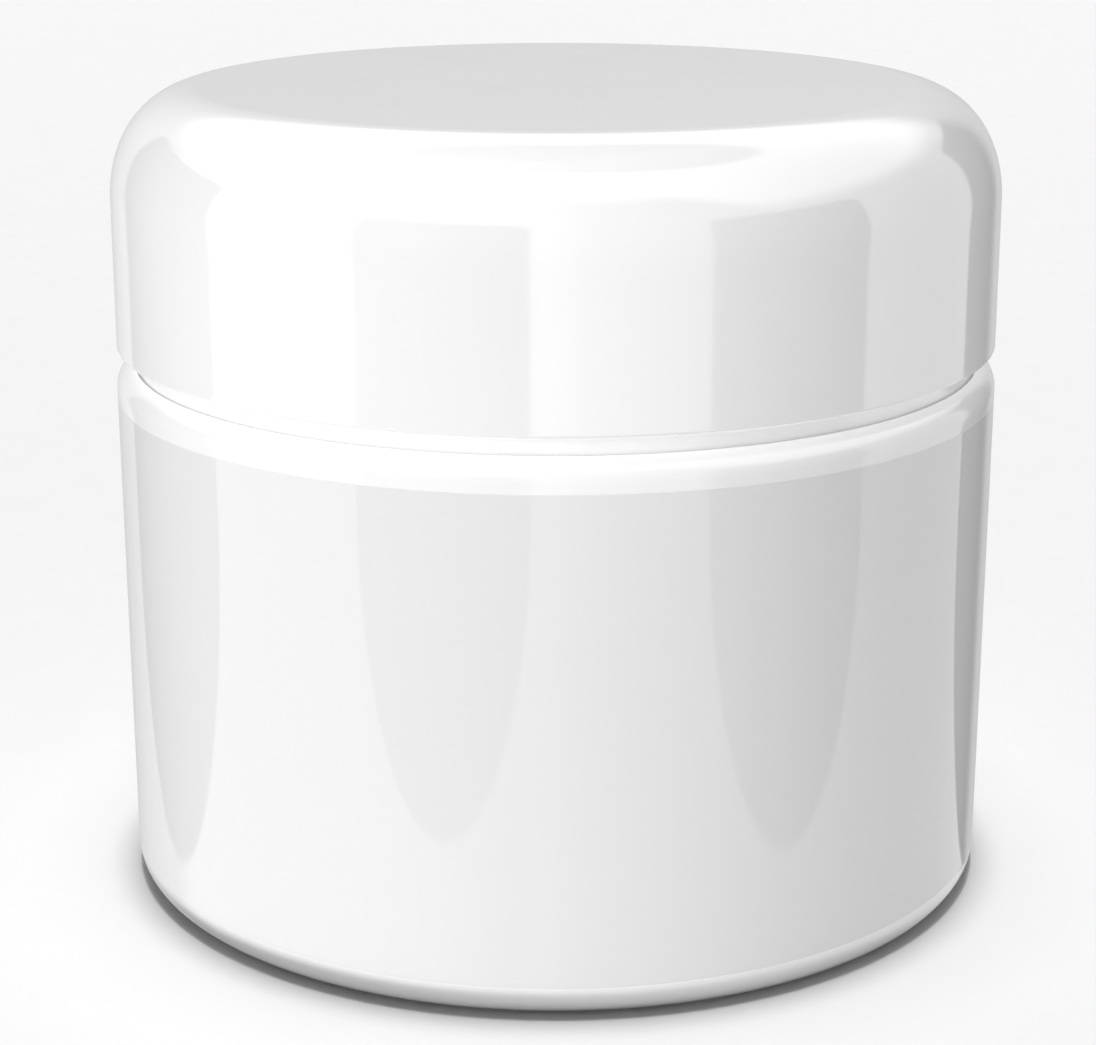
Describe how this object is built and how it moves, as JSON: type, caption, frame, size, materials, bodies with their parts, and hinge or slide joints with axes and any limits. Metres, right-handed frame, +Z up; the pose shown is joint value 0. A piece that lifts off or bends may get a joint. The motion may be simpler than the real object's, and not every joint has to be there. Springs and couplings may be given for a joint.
{
  "type": "cosmetic cream jar",
  "caption": "Round double-walled cream jar with a wrap label, a sealing disc with a pull tab, and a domed screw lid.",
  "frame": {"origin": "centre of the foot ring, on the surface the jar stands on", "axes": "+Z up along the jar's axis, towards the lid; -Y is the front, opposite the label's seam"},
  "size_m": [0.062, 0.062, 0.0563],
  "materials": {
    "outer_jar": "glossy white moulded plastic",
    "inner_cup": "semi-gloss white moulded plastic",
    "wrap_label": "glossy laminated blank label film",
    "cream": "soft satin cream",
    "sealing_disc": "satin soft plastic",
    "disc_pull_tab": "satin soft plastic",
    "lid_liner": "matt closed-cell foam",
    "lid_insert": "satin white moulded plastic",
    "lid_shell": "high-gloss white moulded plastic"
  },
  "bodies": {
    "jar": {"outer_jar": "outer_jar", "inner_cup": "inner_cup", "wrap_label": "wrap_label", "cream": "cream"},
    "liner": {"lid_liner": "lid_liner"},
    "lid": {"lid_insert": "lid_insert", "lid_shell": "lid_shell"},
    "disc": {"sealing_disc": "sealing_disc"},
    "pull_tab": {"disc_pull_tab": "disc_pull_tab"}
  },
  "joints": [
    {"name": "liner_lift", "type": "slide", "parent": "jar", "child": "liner", "axis": [0, 0, 1], "range_m": [0, 0.036]},
    {"name": "lid_turn", "type": "hinge", "parent": "liner", "child": "lid", "pos_m": [0, 0, 0.04], "axis": [0, 0, 1], "range_deg": [0, 1080]},
    {"name": "disc_lift", "type": "slide", "parent": "jar", "child": "disc", "axis": [0, 0, 1], "range_m": [0, 0.0126]},
    {"name": "tab_fold", "type": "hinge", "parent": "disc", "child": "pull_tab", "pos_m": [-0.0065, 0, 0.0474], "axis": [0, -1, 0], "range_deg": [0, 83]}
  ],
  "couplings": [
    {"joint": "liner_lift", "follows": "lid_turn", "m_per_rad": 0.0019099},
    {"joint": "disc_lift", "follows": "lid_turn", "m_per_rad": 0.00066844},
    {"joint": "tab_fold", "follows": "lid_turn", "ratio": 0.0763}
  ]
}
